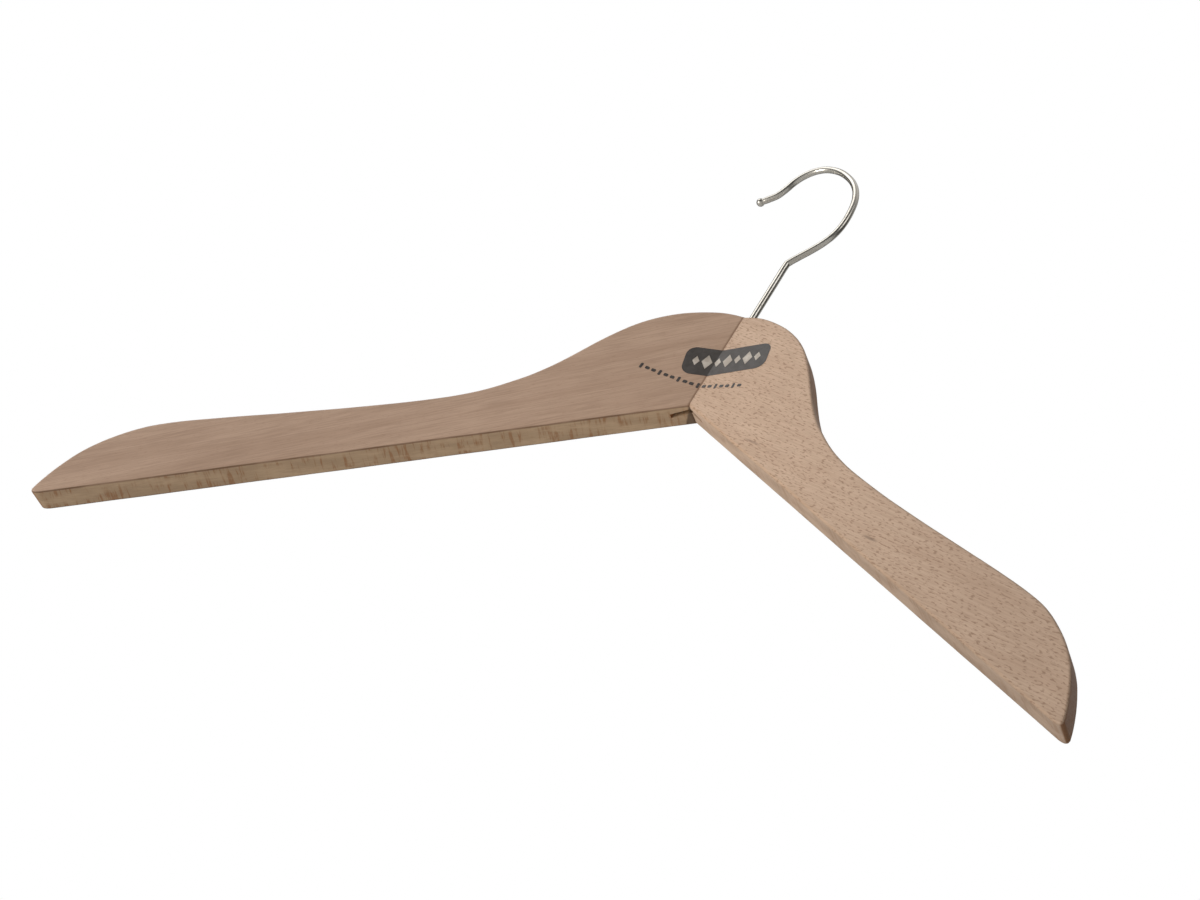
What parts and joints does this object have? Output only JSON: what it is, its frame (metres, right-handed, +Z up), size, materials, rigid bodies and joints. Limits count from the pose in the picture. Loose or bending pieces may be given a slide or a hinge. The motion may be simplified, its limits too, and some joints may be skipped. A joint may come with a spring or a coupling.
{
  "type": "clothes hanger",
  "caption": "Wooden clothes hanger: two flat contoured arms joined by a mitre, under a swivelling wire hook with a ball tip.",
  "frame": {"origin": "the point under the crown of the hook that rests on top of a clothes rail", "axes": "+Z up along the hook's shank, +X along the hanger towards the arm on the right of the printed front, -Y out of the printed front"},
  "size_m": [0.4498, 0.0589, 0.2816],
  "materials": {
    "beech_left": "sanded, clear satin lacquer",
    "beech_right": "sanded, clear satin lacquer",
    "birch_tongue": "bare",
    "satin_nickel": "satin nickel plate"
  },
  "bodies": {
    "hook": {"hook": "satin_nickel"},
    "board": {"left_arm": "beech_left", "right_arm": "beech_right", "mitre_tongue": "birch_tongue"}
  },
  "joints": [
    {"name": "hook_swivel", "type": "hinge", "parent": "hook", "child": "board", "pos_m": [0.01061, -0.00187, 0], "axis": [0, 0, 1], "continuous": true}
  ]
}
